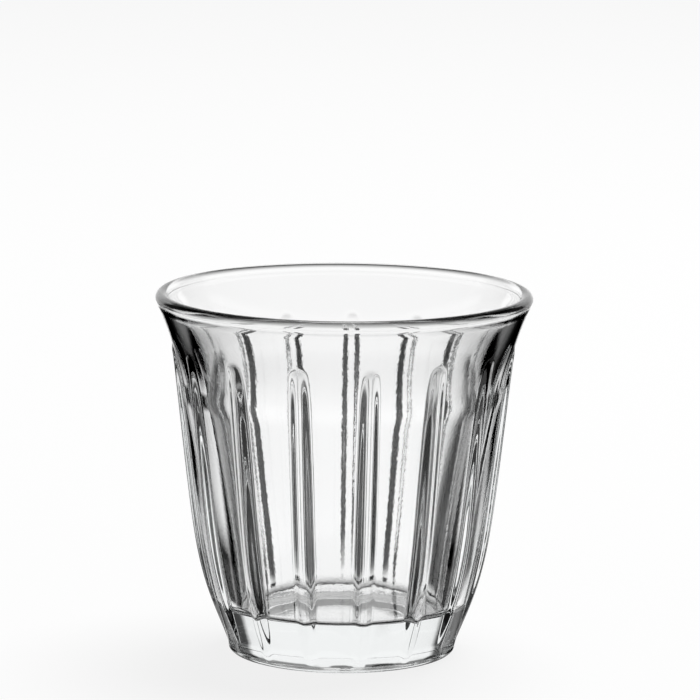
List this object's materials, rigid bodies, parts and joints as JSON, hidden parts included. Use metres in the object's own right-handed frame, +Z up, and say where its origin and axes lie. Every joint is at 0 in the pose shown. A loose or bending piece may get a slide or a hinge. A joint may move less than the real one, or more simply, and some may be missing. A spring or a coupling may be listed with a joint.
{
  "type": "drinking glass",
  "caption": "Low clear glass tumbler with a flared lip, vertical round ribs on a bowed bowl and a heavy solid base, for hot or cold drinks.",
  "frame": {"origin": "middle of the foot, on the table", "axes": "+Z up along the axis of the glass, front of the picture towards -Y, +X to its right"},
  "size_m": [0.0838, 0.0838, 0.0813],
  "materials": {
    "glass": "clear, fire-polished"
  },
  "bodies": {
    "root": {"tumbler": "glass"}
  },
  "joints": []
}
